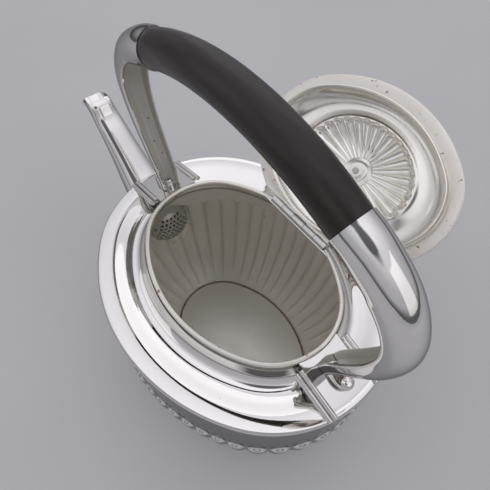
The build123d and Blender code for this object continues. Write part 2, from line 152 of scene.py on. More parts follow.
def grid(rows, wrap_rows=False, wrap_cols=True):
    """Points and quads over rows of points."""
    verts = [p for row in rows for p in row]
    n = len(rows[0])
    faces = []
    for i in range(len(rows) if wrap_rows else len(rows) - 1):
        for j in range(n if wrap_cols else n - 1):
            a = i * n + j
            b = i * n + (j + 1) % n
            c = ((i + 1) % len(rows)) * n
            faces.append((a, b, c + (j + 1) % n, c + j))
    return verts, faces


def around_oval(profile, count=OVAL_SIDES):
    """A closed profile of (offset, height) carried round the oval."""
    rows = []
    for j in range(count):
        (x, y), (nx, ny) = oval_spot(j / count)
        rows.append([(x + nx * out, y + ny * out, z) for out, z in profile])
    return grid(rows, wrap_rows=True)


def cap(faces, count, end):
    """Closes both ends of a tube of points, count to a ring, up to end."""
    faces.append(tuple(range(count)))
    faces.append(tuple(range(end - count, end)))


def lathe(profile, count=64):
    """A profile of (radius, height) turned round the lid's centre line."""
    rows = []
    for j in range(count):
        a = 2 * pi * j / count
        rows.append([(r * cos(a), r * sin(a), z) for r, z in profile])
    return grid(rows, wrap_rows=True, wrap_cols=False)


def ring_section(out0, out1, z0, z1, corner, steps=5):
    """Rectangle of (offset, height) with rounded corners."""
    loop = []
    corners = ((out1 - corner, z1 - corner, 0), (out0 + corner, z1 - corner, 90),
               (out0 + corner, z0 + corner, 180), (out1 - corner, z0 + corner, 270))
    for cx, cz, start in corners:
        for k in range(steps + 1):
            a = radians(start + 90 * k / steps)
            loop.append((cx + corner * cos(a), cz + corner * sin(a)))
    return loop


def cut_back(piece, y):
    """Cuts a piece off square beyond a plane of constant y and closes the cut."""
    bm = bmesh.new()
    bm.from_mesh(piece.data)
    geom = bm.verts[:] + bm.edges[:] + bm.faces[:]
    made = bmesh.ops.bisect_plane(bm, geom=geom, plane_co=(0, y * MM, 0), plane_no=(0, 1, 0),
                                  clear_outer=True)
    edges = [e for e in made["geom_cut"] if isinstance(e, bmesh.types.BMEdge)]
    bmesh.ops.edgeloop_fill(bm, edges=edges)
    bmesh.ops.recalc_face_normals(bm, faces=bm.faces)
    bm.to_mesh(piece.data)
    bm.free()
    piece.data.shade_smooth()
    piece.data.set_sharp_from_angle(angle=radians(SHARP))


def carve(piece, verts, faces):
    """Takes a closed cutter, given in mm, out of a piece."""
    mesh = bpy.data.meshes.new("cutter")
    mesh.from_pydata([tuple(c * MM for c in v) for v in verts], [], faces)
    bm = bmesh.new()
    bm.from_mesh(mesh)
    bmesh.ops.recalc_face_normals(bm, faces=bm.faces)
    bm.to_mesh(mesh)
    bm.free()
    cutter = bpy.data.objects.new("cutter", mesh)
    bpy.context.scene.collection.objects.link(cutter)
    cut = piece.modifiers.new("cut", "BOOLEAN")
    cut.operation = "DIFFERENCE"
    cut.solver = "EXACT"
    cut.object = cutter
    seen = piece.evaluated_get(bpy.context.evaluated_depsgraph_get())
    piece.data = bpy.data.meshes.new_from_object(seen)
    piece.modifiers.clear()
    bpy.data.objects.remove(cutter)


def box_shape(x0, x1, y0, y1, z0, z1):
    """A box, for carving."""
    verts = [(x, y, z) for x in (x0, x1) for y in (y0, y1) for z in (z0, z1)]
    faces = [(0, 1, 3, 2), (4, 6, 7, 5), (0, 4, 5, 1), (2, 3, 7, 6), (0, 2, 6, 4), (1, 5, 7, 3)]
    return verts, faces


def rod_shape(x0, x1, z, r, count=48):
    """A round rod along X, for carving."""
    rows = [[(x, r * cos(2 * pi * k / count), z + r * sin(2 * pi * k / count))
             for k in range(count)] for x in (x0, x1)]
    verts, faces = grid(rows)
    cap(faces, count, len(verts))
    return verts, faces


# ---- materials -------------------------------------------------------------------
class Nodes:
    """Short names for building one material's node tree.

    Everything but add, link and to returns an output socket.
    """

    def __init__(self, name):
        self.material = bpy.data.materials.new(name)
        self.material.use_nodes = True
        self.tree = self.material.node_tree
        self.shader = self.tree.nodes["Principled BSDF"]

    def add(self, kind, **values):
        """A new node; each value sets an input of that name, or else a property."""
        node = self.tree.nodes.new(kind)
        for key, value in values.items():
            if key in node.inputs:
                node.inputs[key].default_value = value
            else:
                setattr(node, key, value)
        return node

    def link(self, a, b):
        self.tree.links.new(a, b)

    def noise(self, scale, detail=4.0, stretch=(1, 1, 1)):
        coords = self.add("ShaderNodeTexCoord")
        mapping = self.add("ShaderNodeMapping")
        mapping.inputs["Scale"].default_value = stretch
        self.link(coords.outputs["Object"], mapping.inputs["Vector"])
        tex = self.add("ShaderNodeTexNoise", Scale=scale, Detail=detail)
        self.link(mapping.outputs["Vector"], tex.inputs["Vector"])
        return tex.outputs["Fac"]

    def ramp(self, source, stops):
        node = self.add("ShaderNodeValToRGB")
        elements = node.color_ramp.elements
        while len(elements) < len(stops):
            elements.new(0.5)
        for element, (at, colour) in zip(elements, stops):
            element.position = at
            element.color = (*colour, 1)
        self.link(source, node.inputs["Fac"])
        return node.outputs["Color"]

    def mix(self, factor, a, b):
        node = self.add("ShaderNodeMix", data_type="RGBA")
        for source, socket in ((factor, 0), (a, 6), (b, 7)):
            if isinstance(source, tuple):
                node.inputs[socket].default_value = source
            else:
                self.link(source, node.inputs[socket])
        return node.outputs[2]

    def bump(self, height, strength, distance):
        node = self.add("ShaderNodeBump", Strength=strength, Distance=distance)
        self.link(height, node.inputs["Height"])
        return node.outputs["Normal"]

    def to(self, name, output):
        self.link(output, self.shader.inputs[name])


def grey(shade):
    """A neutral colour."""
    return (shade, shade, shade)


PATCH_SCALE = 22.0         # noise scales, per metre
SPECK_SCALE = 230.0
GLOSS_SCALE = 60.0
SCRATCH_SCALE = 900.0
GRAIN_SCALE = 260.0
SCRATCH_DEPTH = 0.0002     # metres
GRAIN_DEPTH = 0.0004


def metal(name, clean, tarnish, rough, spots, bump=0.04, shine=1.0, edge=(1, 1, 1)):
    """Plated metal: mottled colour, brown specks, fine scratches and uneven gloss.

    Specks show where their noise is over spots, and edge tints reflections at low angles.
    """
    n = Nodes(name)
    n.shader.inputs["Metallic"].default_value = shine
    n.shader.inputs["Specular Tint"].default_value = (*edge, 1)
    patches = n.ramp(n.noise(PATCH_SCALE, 5.0), ((0.40, grey(0.0)), (0.75, grey(1.0))))
    specks = n.ramp(n.noise(SPECK_SCALE, 3.0), ((spots, grey(0.0)), (spots + 0.05, grey(1.0))))
    base = n.mix(patches, (*clean, 1), (*[c * 0.93 for c in clean], 1))
    n.to("Base Color", n.mix(specks, base, (*tarnish, 1)))
    gloss = n.ramp(n.noise(GLOSS_SCALE, 6.0), ((0.35, grey(rough[0])), (0.7, grey(rough[1]))))
    n.to("Roughness", gloss)
    scratches = n.noise(SCRATCH_SCALE, 2.0, (1.0, 0.05, 0.3))
    n.to("Normal", n.bump(scratches, bump, SCRATCH_DEPTH))
    return n.material


def ebony():
    """Dark stained wood with its grain along the grip."""
    n = Nodes("ebony_wood")
    grain = n.noise(GRAIN_SCALE, 6.0, (0.07, 1.0, 1.0))
    n.to("Base Color", n.ramp(grain, (
        (0.30, (0.010, 0.007, 0.006)), (0.55, (0.020, 0.013, 0.011)),
        (0.80, (0.040, 0.026, 0.021)))))
    n.to("Roughness", n.ramp(grain, ((0.3, grey(0.42)), (0.7, grey(0.30)))))
    n.to("Normal", n.bump(grain, 0.18, GRAIN_DEPTH))
    n.shader.inputs["Specular IOR Level"].default_value = 0.45
    return n.material


SILVER = metal("silver_polished", (0.87, 0.85, 0.82), (0.34, 0.25, 0.17), (0.03, 0.09), 0.76,
               edge=(0.42, 0.42, 0.44))
INNER = metal("silver_inside", (0.94, 0.91, 0.84), (0.40, 0.32, 0.24), (0.32, 0.44), 0.73,
              bump=0.12, shine=0.45)
SIEVE = metal("silver_strainer", (0.62, 0.60, 0.55), (0.24, 0.19, 0.15), (0.35, 0.5), 0.68,
              bump=0.15, shine=0.5)
LID_UNDER = metal("silver_under_lid", (0.93, 0.90, 0.84), (0.44, 0.36, 0.28), (0.16, 0.28), 0.72,
                  bump=0.06)
WORN = metal("silver_worn_edge", (0.82, 0.78, 0.71), (0.34, 0.25, 0.18), (0.28, 0.45), 0.66,
             bump=0.25, shine=0.8)
HINGE_METAL = metal("silver_hinge", (0.80, 0.79, 0.77), (0.36, 0.30, 0.24), (0.30, 0.40), 0.74,
                    bump=0.15, shine=0.85)
SEAM = metal("solder_seam", (0.36, 0.29, 0.22), (0.16, 0.10, 0.06), (0.35, 0.5), 0.60, bump=0.2)
PIN = metal("pin_wire", (0.55, 0.50, 0.44), (0.20, 0.15, 0.10), (0.25, 0.35), 0.66, bump=0.1)
EBONY = ebony()


# ---- body ------------------------------------------------------------------------
BOWL_OUTLINE = smooth([(BASE_T, FLOOR_OUT), (8.0, 3.6), (20.0, 14.5), (38.0, 23.6),
                       (58.0, 28.9), (72.0, 30.4), (FLUTE_TOP, BELLY_OUT)], 10)
FLUTES = 48
FLUTE_STEPS = 14           # columns of points to a flute
FLUTE_RISE = 2.2
FLUTE_ARCH = 6.5           # height of a flute's round top
FLUTE_FULL = 0.75          # power of the flute's section outside, which is flatter inside
FLUTE_FULL_INSIDE = 0.45
ARCH_SOFT = 3.0            # height over which the arch's edge rises
ARCH_SOFT_INSIDE = 1.6
GROOVE = 0.25              # between the flutes, outside
RIDGE_RISE = 1.2           # sharp ridges between the flutes, inside
RIDGE_SHARP = 4
GROOVE_FADE = 6.0          # heights over which they fade out below the arches
RIDGE_FADE = 3.0
FOOT_FADE = 16.0           # height over which the flutes grow from the foot
FOOT_FADE_FIRST = 4.0      # a small share of them grows faster
FOOT_SHARE = 0.85
FOOT_SHARE_FIRST = 0.15
LOW_RUN = 66.0             # height of the flutes' even part
LOW_STEPS = 34
ARCH_STEPS = 26
BAND_LEVELS = (85.0, 95.0, 110.0, BAND_TOP - 0.4, BAND_TOP)


def bowl_row(z, inset):
    """One level of the bowl; flutes end in round arches below the plain band."""
    out = follow(BOWL_OUTLINE, z) - inset
    foot = z - BASE_T
    fade_in = (ease(foot / FOOT_FADE) * FOOT_SHARE
               + FOOT_SHARE_FIRST * ease(foot / FOOT_FADE_FIRST))
    groove_fade = ease((FLUTE_TOP - 2 - z) / GROOVE_FADE)
    ridge_fade = ease((FLUTE_TOP - FLUTE_ARCH - z) / RIDGE_FADE)
    full = FLUTE_FULL_INSIDE if inset else FLUTE_FULL
    soft = ARCH_SOFT_INSIDE if inset else ARCH_SOFT
    row = []
    count = FLUTES * FLUTE_STEPS
    for j in range(count):
        u = ((j / FLUTE_STEPS + 0.5) % 1.0) - 0.5
        side = 1 - 4 * u * u
        arch_top = FLUTE_TOP - FLUTE_ARCH * (1 - sqrt(max(side, 0.0)))
        rise = FLUTE_RISE * side ** full * fade_in * ease((arch_top - z) / soft)
        if inset:
            low = RIDGE_RISE * (1 - side) ** RIDGE_SHARP * fade_in * ridge_fade
        else:
            low = GROOVE * groove_fade * fade_in
        (x, y), (nx, ny) = oval_spot(j / count)
        reach = out + rise - low
        row.append((x + nx * reach, y + ny * reach, z))
    return row


def bowl():
    """The bowl, polished outside and dull inside, with a hole into the spout."""
    levels = [BASE_T + LOW_RUN * (i / LOW_STEPS) for i in range(LOW_STEPS)]
    levels += [BASE_T + LOW_RUN + (FLUTE_TOP - BASE_T - LOW_RUN + 1.0) * i / ARCH_STEPS
               for i in range(ARCH_STEPS + 1)]
    levels += BAND_LEVELS
    rows = [bowl_row(z, 0) for z in levels] + [bowl_row(z, SHEET) for z in reversed(levels)]
    verts, faces = grid(rows, wrap_rows=True)
    piece = make("bowl_fluted", verts, faces, SILVER, "kettle", ["body_bowl"])
    piece.data.materials.append(INNER)
    for poly in piece.data.polygons:
        c = poly.center
        away = poly.normal.x * c.x + poly.normal.y * c.y
        poly.material_index = 1 if away < 0 and abs(poly.normal.z) < 0.999 else 0
    carve(piece, *rod_shape(*SPOUT_HOLE_X, STRAINER_Z, SPOUT_HOLE_R))


SHOULDER_OUTLINE = [
    (SHOULDER_OUT + 1.2, BAND_TOP + 1.2), (SHOULDER_OUT + 0.5, BAND_TOP + 2.4),
    (SHOULDER_OUT - 1.0, BAND_TOP + 3.0), (SHOULDER_OUT - 8.0, BAND_TOP + 2.2),
    (SHOULDER_OUT - 16.0, BAND_TOP - 0.6), (SHOULDER_OUT - 22.5, BAND_TOP - 1.6),
    (SHOULDER_OUT - 27.0, BAND_TOP + 1.6), (0.6, BAND_TOP + 6.0), (0.0, RIM_TOP - RIM_H)]
SHOULDER_STEPS = 10
SHOULDER_OPEN = 4          # outline points that the underside leaves out at the edge


def shoulder():
    """The concave shoulder; its underside starts inside the band."""
    top = smooth(SHOULDER_OUTLINE, SHOULDER_STEPS)
    under = [(SHOULDER_OUT + 1.0, BAND_TOP), (SHOULDER_OUT - 1.4, BAND_TOP)]
    under += [(x - 1.0, z - 1.1) for x, z in top[SHOULDER_OPEN * SHOULDER_STEPS:]]
    verts, faces = around_oval(top + under[::-1])
    make("shoulder_skin", verts, faces, SILVER, "kettle", ["shoulder"])


def rim():
    """The rim wire, with a gap for the hinge."""
    section = ring_section(-RIM_W, 0, RIM_TOP - RIM_H, RIM_TOP, RIM_ROUND)
    verts, faces = around_oval(section)
    ring = make("mouth_ring", verts, faces, WORN, "kettle", ["mouth_rim"])
    half = HINGE_LENGTH / 2 + HINGE_PLAY
    carve(ring, *box_shape(-half, half, CHORD_Y + CHORD_GAP, MOUTH_B + 2, RIM_TOP - 8,
                           RIM_TOP + 8))


STRAINER_X = -97.2
STRAINER_Z = 69.0
STRAINER_R = 17.0
STRAINER_BULGE = 10.5
STRAINER_STEEP = 0.985     # how nearly upright the dome is at its edge
STRAINER_T = 0.8
STRAINER_EDGE = -2.2       # the edge goes this far into the wall
STRAINER_RINGS = 12
STRAINER_SIDES = 72
STRAINER_PITCH = 3.4
STRAINER_ROW = 0.9         # distance of the rows, in pitches
STRAINER_HOLE_R = 1.1
STRAINER_HOLE_SIDES = 12
STRAINER_MARGIN = 2.0      # no hole is centred nearer to the edge
SPOUT_HOLE_R = 11.5
SPOUT_HOLE_X = (-112.0, -86.0)
DRILL_X = (STRAINER_X - 3, STRAINER_X + 20)   # reach of the strainer's holes


def strainer():
    """Pierced dome on the wall inside the spout's root."""
    profile = []
    for i in range(STRAINER_RINGS + 1):
        r = STRAINER_R * i / STRAINER_RINGS
        profile.append((r, STRAINER_BULGE * sqrt(1 - STRAINER_STEEP * (r / STRAINER_R) ** 2)))
    inside = [(r - STRAINER_T * (r / STRAINER_R), h - STRAINER_T) for r, h in reversed(profile)]
    edge = [(STRAINER_R, STRAINER_EDGE), (STRAINER_R - STRAINER_T, STRAINER_EDGE)]
    rows = [[(STRAINER_X + h, r * cos(a), STRAINER_Z + r * sin(a))
             for r, h in profile + edge + inside]
            for a in [2 * pi * k / STRAINER_SIDES for k in range(STRAINER_SIDES)]]
    verts, faces = grid(rows, wrap_rows=True, wrap_cols=False)
    piece = make("strainer_dome", verts, faces, SIEVE, "kettle", ["strainer"])
    points, sides = [], []
    reach = int(STRAINER_R / STRAINER_PITCH)
    for i in range(-reach, reach + 1):
        for j in range(-reach, reach + 1):
            y = (i + 0.5 * (j % 2)) * STRAINER_PITCH
            z = j * STRAINER_PITCH * STRAINER_ROW
            if sqrt(y * y + z * z) > STRAINER_R - STRAINER_MARGIN:
                continue
            rod, rod_faces = rod_shape(*DRILL_X, STRAINER_Z + z, STRAINER_HOLE_R,
                                       STRAINER_HOLE_SIDES)
            sides += [tuple(len(points) + k for k in face) for face in rod_faces]
            points += [(px, py + y, pz) for px, py, pz in rod]
    carve(piece, points, sides)


SEAM_SIDES = 240
SEAM_OVERLAP = 0.2         # the seam reaches this far into the bowl's sheet


def floor_seam():
    """The fillet of solder round the floor."""
    out = FLOOR_OUT - SHEET + SEAM_OVERLAP
    loop = [(out, BASE_T), (out - 1.6, BASE_T), (out - 1.1, BASE_T + 0.3),
            (out - 0.3, BASE_T + 1.1)]
    verts, faces = around_oval(loop, SEAM_SIDES)
    make("floor_solder_seam", verts, faces, SEAM, "kettle")


# ---- swept limbs ------------------------------------------------------------------
def limb(stations, section, steps=10):
    """Rows of points across a limb that lies in the XZ plane.

    Stations hold x, z and any sizes; section gives (across, above) points for a share of
    the limb's length and the sizes there.
    """
    path = smooth(stations, steps)
    rows = []
    for i, at in enumerate(path):
        x0, z0 = path[max(i - 1, 0)][:2]
        x1, z1 = path[min(i + 1, len(path) - 1)][:2]
        length = sqrt((x1 - x0) ** 2 + (z1 - z0) ** 2)
        tx, tz = (x1 - x0) / length, (z1 - z0) / length
        rows.append([(at[0] - tz * up, across, at[1] + tx * up)
                     for across, up in section(i / (len(path) - 1), *at[2:])])
    return rows


def full_round(value, power):
    """A sine or cosine bent towards a squarer section; the sign is kept."""
    return abs(value) ** (2 / power) * (1 if value >= 0 else -1)


SPOUT_WALL = 1.3
SPOUT_SIDES = 48
SPOUT_POWER_LOW = 2.4      # fullness of the section's lower and upper half
SPOUT_POWER_TOP = 3.2
SPOUT_BACK = 15.0          # how far the lip's upper edge stands back
SPOUT_LIP = 0.74           # share of the length where the lip's slant starts
SPOUT_ROOT_ROW = 8         # the row that is carried onto the bowl's wall
ROOT_DEEP = 1.4            # extra depth of the root where the wall is fluted
ROOT_FADE = 8.0
SPOUT_STATIONS = [
    (-86.0, 60.0, 19.5, 25.0), (-100.0, 63.2, 18.4, 22.6), (-115.0, 70.0, 16.8, 18.5),
    (-135.0, 88.0, 14.2, 13.6), (-151.0, 105.5, 11.8, 10.2), (-166.0, 121.0, 10.4, 8.0),
    (-180.0, 132.0, 9.4, 6.4), (-193.0, 136.6, 9.0, 4.8)]


def wall_x(y, z):
    """Where the bowl's wall stands behind the spout."""
    out = follow(BOWL_OUTLINE, z) if z < FLUTE_TOP else BELLY_OUT
    deep = ROOT_DEEP * ease((FLUTE_TOP - z) / ROOT_FADE) - SHEET / 2
    return -END_C - sqrt((END_R + out + deep) ** 2 - y * y)


def spout_rows(wall):
    """The spout's surface, wall inside its outer one, with its lip cut at a slant.

    The path runs to -X, so the section's positive heights are down.
    """
    def section(_share, half_w, half_h):
        loop = []
        for k in range(SPOUT_SIDES):
            a = 2 * pi * k / SPOUT_SIDES
            power = SPOUT_POWER_LOW if sin(a) >= 0 else SPOUT_POWER_TOP
            loop.append(((half_w - wall) * full_round(cos(a), power),
                         (half_h - wall) * full_round(sin(a), power)))
        return loop

    rows = limb(SPOUT_STATIONS, section)
    for i, row in enumerate(rows):
        late = ease((i / (len(rows) - 1) - SPOUT_LIP) / (1 - SPOUT_LIP))
        top = max(z for x, y, z in row)
        low = min(z for x, y, z in row)
        rows[i] = [(x + late * SPOUT_BACK * ease((z - low) / (top - low)), y, z)
                   for x, y, z in row]
    return rows


def spout():
    """The hollow spout, whose root stands on the bowl's wall."""
    surfaces = [spout_rows(0), spout_rows(SPOUT_WALL)]
    clear = next(i for i, row in enumerate(surfaces[0])
                 if all(x < wall_x(y, z) for x, y, z in row))
    for rows in surfaces:
        rows[:clear] = [[(wall_x(y, z), y, z) for x, y, z in rows[SPOUT_ROOT_ROW]]]
    verts, faces = grid(surfaces[0] + surfaces[1][::-1], wrap_rows=True)
    make("spout_curved", verts, faces, SILVER, "kettle", ["spout"])


GRIP_HALF = 62.0
GRIP_END_Z = 242.0
GRIP_SAG = 13.5
GRIP_R = 9.8
GRIP_ARC_R = (GRIP_HALF ** 2 + GRIP_SAG ** 2) / (2 * GRIP_SAG)
GRIP_ARC_Z = GRIP_END_Z + GRIP_SAG - GRIP_ARC_R
GRIP_ARC_HALF = atan2(GRIP_HALF, GRIP_END_Z - GRIP_ARC_Z)
GRIP_STATIONS = 60
GRIP_SIDES = 56
GRIP_UNDER = 0.25          # the wood stays this far under the sockets' radius
GRIP_TAPER = 0.35
GRIP_EDGE = 0.012          # share of the half length over which the end is eased
GRIP_EDGE_CUT = 0.025      # share of the radius that the edge loses
ARM_STATIONS = [
    (GRIP_HALF, GRIP_END_Z, 9.8, 9.8), (72.5, 238.4, 9.6, 9.3), (86.5, 229.6, 9.2, 8.6),
    (95.8, 217.0, 8.8, 8.0), (99.4, 203.0, 8.4, 7.4), (96.8, 184.0, 7.8, 6.8),
    (89.8, 165.0, 7.2, 6.2), (81.2, 145.5, 6.6, 5.6), (77.6, 134.0, 6.2, 5.0)]
ARM_HALF_POINTS = 28       # points on each half of the section
ARM_WALL = 1.5
ARM_FLAT = 0.3             # how much of its depth the inner side loses
ARM_SQUARE = 2.2           # how much squarer it gets
CHANNEL_START = 0.20       # share of the arm's length
CHANNEL_FACES = (0.24, 0.76)   # shares of the inner side that are dull
LIP_DEPTH = -0.62          # of the channel's edges, in half depths


def arm_section(share, half_w, half_d):
    """Round at the grip, then a half-round tube that is open along its inner side."""
    open_share = ease((share - CHANNEL_START) / 0.05)
    flat = ease((share - 0.05) / 0.2)
    power = 2.0 + ARM_SQUARE * flat
    n = ARM_HALF_POINTS
    loop = [(half_w * cos(pi * k / n), half_d * sin(pi * k / n)) for k in range(n)]
    lip = LIP_DEPTH * half_d
    # From the lip to the middle, as (share of the inner side, across, above)
    channel = ((0.0, -half_w, 0.0), (0.16, -half_w, lip * 0.8), (0.20, -half_w + 0.4, lip),
               (0.26, -half_w + ARM_WALL, lip), (0.36, -half_w + ARM_WALL + 0.4, half_d * 0.15),
               (0.50, 0.0, half_d * 0.45))
    for k in range(n):
        turn = k / n
        near = min(turn, 1 - turn)
        half = -1 if turn < 0.5 else 1
        round_x = half_w * abs(cos(pi * turn)) ** (2 / power) * half
        round_y = -half_d * (1 - ARM_FLAT * flat) * sin(pi * turn) ** (2 / power)
        for (s0, x0, y0), (s1, x1, y1) in zip(channel, channel[1:]):
            if near <= s1:
                break
        mix = (near - s0) / (s1 - s0)
        channel_x = (x0 + (x1 - x0) * mix) * -half
        channel_y = y0 + (y1 - y0) * mix
        loop.append((round_x + (channel_x - round_x) * open_share,
                     round_y + (channel_y - round_y) * open_share))
    return loop


def arm(side, name):
    """One of the bail's metal arms, with its channel dull."""
    rows = [[(side * x, y, z) for x, y, z in row] for row in limb(ARM_STATIONS, arm_section, 14)]
    verts, faces = grid(rows)
    n = len(rows[0])
    cap(faces, n, len(verts))
    piece = make("arm_" + name, verts, faces, SILVER, "kettle", ["handle_arm_" + name], sharp=45)
    piece.data.materials.append(SIEVE)
    for poly in piece.data.polygons[: (len(rows) - 1) * n]:
        share = (poly.index % n - ARM_HALF_POINTS) / ARM_HALF_POINTS
        along = poly.index // n / (len(rows) - 1)
        if CHANNEL_FACES[0] < share < CHANNEL_FACES[1] and along > CHANNEL_START + 0.02:
            poly.material_index = 1


SADDLE_W = 26.8
SADDLE_FALL = 7.9          # over a length of SADDLE_RUN
SADDLE_RUN = 28.8
SADDLE_SLOPE = radians(15.4)
SADDLE_LIP = 0.35          # the outer edge is this much lower
SADDLE_THIN = 0.2          # least thickness
SADDLE_GAP = 0.2           # between its upper edge and the mouth's collar
SADDLE_INSET = 1.2         # its outer edge stays this far inside the shoulder's
SADDLE_DOWN = 1.0          # its upper edge is this far under the rim's top
SADDLE_COLUMNS = 24
SADDLE_ROWS = 18


def saddle(side, name):
    """Sloping plate from the mouth's collar to the shoulder's edge, which it follows."""
    ground = smooth(SHOULDER_OUTLINE[2:], SHOULDER_STEPS)[::-1]
    rows = []
    for k in range(SADDLE_COLUMNS + 1):
        y = SADDLE_W * (k / SADDLE_COLUMNS - 0.5)
        x0 = END_C + sqrt((END_R + SADDLE_GAP) ** 2 - y * y)
        x1 = END_C + sqrt((END_R + SHOULDER_OUT - SADDLE_INSET) ** 2 - y * y)
        top, low = [], []
        for i in range(SADDLE_ROWS + 1):
            x = x0 + (x1 - x0) * i / SADDLE_ROWS
            fall = (x - MOUTH_A - SADDLE_GAP) * SADDLE_FALL / SADDLE_RUN
            z = RIM_TOP - SADDLE_DOWN - fall
            z -= SADDLE_LIP * (i == SADDLE_ROWS)
            out = sqrt((x - END_C) ** 2 + y * y) - END_R
            top.append((side * x, y, z))
            low.append((side * x, y, min(follow(ground, out), z - SADDLE_THIN)))
        rows.append(top + low[::-1])
    verts, faces = grid(rows)
    cap(faces, len(rows[0]), len(verts))
    make("saddle_plate_" + name, verts, faces, SILVER, "kettle", ["saddle_" + name])


CUP_X = 84.6
CUP_Z = 131.9              # on the saddle's face
CUP_A = 8.4
CUP_B = 5.4
CUP_WALL = 1.3
CUP_SIDES = 72
CUP_TAPER = 0.12
CUP_FLOOR_IN = 1.9         # the floor's edge lies this far inside the cup's outside
FLOOR_RINGS = ((0.35, 0.3), (0.7, 0.6), (1.0, 1.1))   # share of the way out, height
FLOOR_RIPPLE = 0.25
EYE_R = 3.7
EYE_SIDES = 48
EYE_ALONG = 4.2            # the boss stands this far out from the cup's centre
CUP_SECTION = [
    (0.0, -0.4), (0.0, 3.6), (-0.25, 4.1), (-0.65, 4.3), (-1.05, 4.1), (-CUP_WALL, 3.6),
    (-CUP_WALL - 0.4, 1.4), (-CUP_WALL - 1.6, 0.5), (-CUP_WALL - 1.6, -0.4)]
EYE_SECTION = smooth([(0.0, 0.0), (2.6, 0.0), (EYE_R, 2.2), (EYE_R - 0.2, 4.2), (2.4, 5.9),
                      (0.0, 6.5)], 6)


def on_saddle(side, along, y, up):
    """A point over the saddle's sloping face, from the cup's centre."""
    x = CUP_X + along * cos(SADDLE_SLOPE) + up * sin(SADDLE_SLOPE)
    z = CUP_Z - along * sin(SADDLE_SLOPE) + up * cos(SADDLE_SLOPE)
    return (side * x, y, z)


def cup_floor_ring(side, share, height, ripple):
    """One ring of the cup's floor."""
    ring = []
    for k in range(CUP_SIDES):
        a = 2 * pi * k / CUP_SIDES
        ring.append(on_saddle(side, (CUP_A - CUP_FLOOR_IN) * share * cos(a),
                              (CUP_B - CUP_FLOOR_IN) * share * sin(a),
                              height + ripple * sin(5 * a) * share))
    return ring


def scroll(side, name):
    """The bail's rolled foot: an oval cup on the saddle with a boss at its outer end."""
    rows = []
    for k in range(CUP_SIDES):
        a = 2 * pi * k / CUP_SIDES
        taper = 1 + CUP_TAPER * cos(a)
        rows.append([on_saddle(side, (CUP_A + out) * cos(a), (CUP_B + out) * sin(a) * taper, up)
                     for out, up in CUP_SECTION])
    verts, faces = grid(rows, wrap_rows=True)
    make("scroll_cup_" + name, verts, faces, SILVER, "kettle", ["foot_scroll_" + name])
    rows = [cup_floor_ring(side, 0, 0.5, 0)]
    rows += [cup_floor_ring(side, share, up, FLOOR_RIPPLE) for share, up in FLOOR_RINGS]
    rows += [cup_floor_ring(side, 1, -0.3, 0), cup_floor_ring(side, 0, -0.3, 0)]
    verts, faces = grid(rows)
    make("scroll_floor_" + name, verts, faces, SEAM, "kettle")
    rows = [[on_saddle(side, EYE_ALONG + q * cos(a), q * sin(a), up) for q, up in EYE_SECTION]
            for a in [2 * pi * k / EYE_SIDES for k in range(EYE_SIDES)]]
    verts, faces = grid(rows, wrap_rows=True, wrap_cols=False)
    make("scroll_boss_" + name, verts, faces, SILVER, "kettle", ["scroll_eye_" + name])


def grip():
    """The wood grip, a slightly tapered round bar on an arc."""
    rows = []
    for i in range(GRIP_STATIONS + 1):
        t = -1 + 2 * i / GRIP_STATIONS
        a = t * GRIP_ARC_HALF
        edge = min(1 - abs(t), GRIP_EDGE) / GRIP_EDGE
        r = (GRIP_R - GRIP_UNDER - GRIP_TAPER * t * t) * (1 - GRIP_EDGE_CUT + GRIP_EDGE_CUT * edge)
        rows.append([((GRIP_ARC_R + r * sin(b)) * sin(a), r * cos(b),
                      GRIP_ARC_Z + (GRIP_ARC_R + r * sin(b)) * cos(a))
                     for b in [2 * pi * k / GRIP_SIDES for k in range(GRIP_SIDES)]])
    verts, faces = grid(rows)
    cap(faces, GRIP_SIDES, len(verts))
    make("grip_ebony", verts, faces, EBONY, "kettle", ["grip"], sharp=50)


# ---- lid, modelled closed and then thrown back --------------------------------------
# Lid sheet from edge to rosette as (share of the way in, height above the border)
LID_SECTION = [(0.0, 1.4), (0.12, 2.2), (0.24, 4.4), (0.36, 8.4), (0.50, 11.4),
               (0.68, 12.7), (0.84, 12.3), (0.93, 11.6), (1.0, 12.0)]
BORDER_TOP = [(-8.0, LID_Z + 1.5), (-4.0, LID_Z + 1.5), (0.0, LID_Z + 1.6)]
BORDER_UNDER = [(0.0, LID_Z + 0.7), (-0.5, LID_Z + 0.1), (-3.0, LID_Z), (-6.5, LID_Z + 0.3),
                (-8.0, LID_Z + 0.8)]
BEZEL_SECTION = ring_section(-9.4, -8.4, RIM_TOP - 4.0, LID_Z + 1.2, 0.4)
ROSETTE_FLUTES = 32
ROSETTE_STEPS = 12         # columns of points to a flute
ROSETTE_A = 38.0
ROSETTE_B = 29.5
ROSETTE_EDGE = 12.0        # height of its edge above the border
ROSETTE_SCALLOP = 0.045    # share by which a flute reaches past the ellipse
ROSETTE_RISE = 1.5         # height of the flutes, at their highest
ROSETTE_FULL = 0.6         # power of the flute's section
ROSETTE_SINK = 0.9         # the valleys lie this far under the dome
SCALLOP_END = 0.25         # shares of the way in: the scallops end here,
FLUTE_START = 0.10         # the flutes have their full height here
FLUTE_FALL = 0.15          # and start to fall here,
FLUTE_LOSS = 0.7           # by this share at the boss
BEAD_DEPTH = 0.7           # a groove behind the edge
BEAD_AT = 0.015
BEAD_HALF = 0.03
ROSETTE_ROWS = ([0, 0.01, 0.02, 0.035, 0.05, 0.07, 0.1, 0.14]
                + [0.14 + 0.86 * i / 22 for i in range(1, 23)])
BOSS_R = 9.0
BOSS_Z = LID_Z + 19.0
BOSS_LOW = BOSS_Z - LID_T
